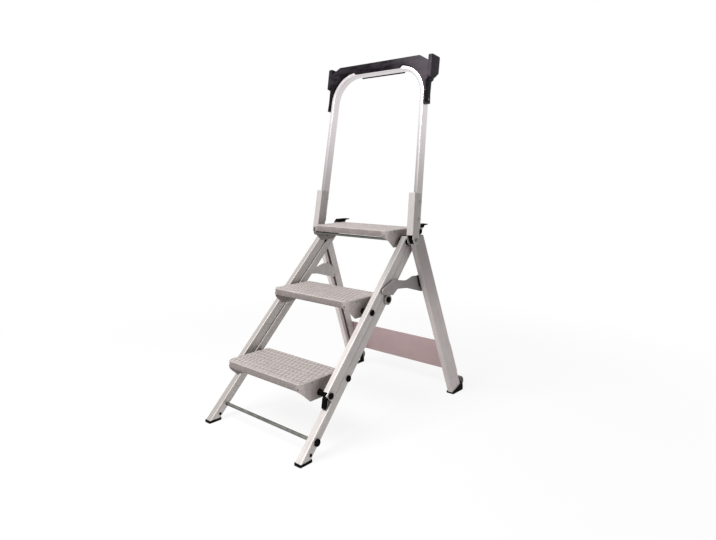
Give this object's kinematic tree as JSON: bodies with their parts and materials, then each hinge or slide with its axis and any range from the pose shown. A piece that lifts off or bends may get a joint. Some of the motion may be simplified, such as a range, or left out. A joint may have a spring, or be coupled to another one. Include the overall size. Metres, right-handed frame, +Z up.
{
  "type": "folding step stool",
  "caption": "Folding step stool with lipped treads between leaning box-section rails, spread rear legs with wheels and a tall looped handrail under a moulded cap.",
  "frame": {"origin": "on the floor below the middle of the outline of the open stool", "axes": "+X to the right of the climber, +Y from the front feet to the rear legs, +Z up"},
  "size_m": [0.5764, 0.911, 1.3616],
  "materials": {
    "rail_aluminium": "satin anodised",
    "tread_aluminium": "matt, with a fine anti-slip relief",
    "brace_aluminium": "satin",
    "plate_aluminium": "satin",
    "dark_steel": "dull plated",
    "black_plastic": "matt",
    "cap_plastic": "smooth moulded",
    "grey_plastic": "matt",
    "black_rubber": "matt"
  },
  "bodies": {
    "front_frame": {"main_rail_right": "rail_aluminium", "main_rail_left": "rail_aluminium", "front_foot_right": "black_rubber", "front_foot_left": "black_rubber", "foot_rivets": "dark_steel", "lower_cross_rod": "dark_steel", "cross_rod_caps": "black_plastic", "rail_top_cap_right": "black_plastic", "rail_top_cap_left": "black_plastic", "leg_hinge_pins": "dark_steel"},
    "bottom_tread": {"bottom_pan": "tread_aluminium", "bottom_side_right": "tread_aluminium", "bottom_side_left": "tread_aluminium", "bottom_pins": "dark_steel", "bottom_bushes": "black_plastic", "bottom_caps": "black_plastic"},
    "middle_tread": {"brace_arm_right": "brace_aluminium", "brace_arm_left": "brace_aluminium", "brace_rollers": "black_plastic", "brace_buffers": "black_plastic", "middle_pan": "tread_aluminium", "middle_side_right": "tread_aluminium", "middle_side_left": "tread_aluminium", "middle_pins": "dark_steel", "middle_bushes": "black_plastic", "middle_caps": "black_plastic"},
    "platform": {"platform_grab_rod": "dark_steel", "platform_pan": "tread_aluminium", "platform_side_right": "tread_aluminium", "platform_side_left": "tread_aluminium", "platform_pins": "dark_steel", "platform_bushes": "black_plastic", "platform_caps": "black_plastic"},
    "links": {"link_bar_right": "rail_aluminium", "link_bar_left": "rail_aluminium", "link_top_cap_right": "black_plastic", "link_top_cap_left": "black_plastic"},
    "lock_lever": {"lock_lever": "black_plastic"},
    "rear_frame": {"rear_leg_right": "rail_aluminium", "rear_leg_left": "rail_aluminium", "rear_cross_plate": "plate_aluminium", "plate_rivets": "dark_steel", "rear_shoe_right": "black_rubber", "rear_shoe_left": "black_rubber", "wheel_axles": "dark_steel", "leg_top_block_right": "black_plastic", "leg_top_block_left": "black_plastic"},
    "wheel_right": {"wheel_right": "grey_plastic"},
    "wheel_left": {"wheel_left": "grey_plastic"},
    "handrail": {"handrail_post_right": "rail_aluminium", "handrail_post_left": "rail_aluminium", "post_hinge_pins": "dark_steel", "post_bolts": "dark_steel", "handrail_tube": "rail_aluminium", "handrail_saddle": "cap_plastic", "saddle_screws": "dark_steel"}
  },
  "joints": [
    {"name": "rear_fold", "type": "hinge", "parent": "front_frame", "child": "rear_frame", "pos_m": [0, 0.16356, 0.6256], "axis": [-1, 0, 0], "range_deg": [0, 60]},
    {"name": "bottom_tread_fold", "type": "hinge", "parent": "front_frame", "child": "bottom_tread", "pos_m": [0, -0.2265, 0.216], "axis": [-1, 0, 0], "range_deg": [0, 129.3]},
    {"name": "middle_tread_fold", "type": "hinge", "parent": "front_frame", "child": "middle_tread", "pos_m": [0, -0.00747, 0.446], "axis": [-1, 0, 0], "range_deg": [0, 129.3]},
    {"name": "platform_fold", "type": "hinge", "parent": "front_frame", "child": "platform", "pos_m": [0, 0.21155, 0.676], "axis": [-1, 0, 0], "range_deg": [0, 129.3]},
    {"name": "link_swing", "type": "hinge", "parent": "bottom_tread", "child": "links", "pos_m": [0, -0.3135, 0.1826], "axis": [1, 0, 0], "range_deg": [0, 129.3]},
    {"name": "lever_swing", "type": "hinge", "parent": "links", "child": "lock_lever", "pos_m": [0, -0.3135, 0.1826], "axis": [-1, 0, 0], "range_deg": [0, 40]},
    {"name": "handrail_tilt", "type": "hinge", "parent": "rear_frame", "child": "handrail", "pos_m": [0, 0.1295, 0.652], "axis": [1, 0, 0], "range_deg": [0, 29]},
    {"name": "wheel_right_roll", "type": "hinge", "parent": "rear_frame", "child": "wheel_right", "pos_m": [0.272, 0.4335, 0.033], "axis": [1, 0, 0], "continuous": true},
    {"name": "wheel_left_roll", "type": "hinge", "parent": "rear_frame", "child": "wheel_left", "pos_m": [-0.272, 0.4335, 0.033], "axis": [1, 0, 0], "continuous": true}
  ],
  "couplings": [
    {"joint": "bottom_tread_fold", "follows": "rear_fold", "ratio": 2.1533},
    {"joint": "middle_tread_fold", "follows": "rear_fold", "ratio": 2.1533},
    {"joint": "platform_fold", "follows": "rear_fold", "ratio": 2.1533},
    {"joint": "link_swing", "follows": "rear_fold", "ratio": 2.1533}
  ]
}
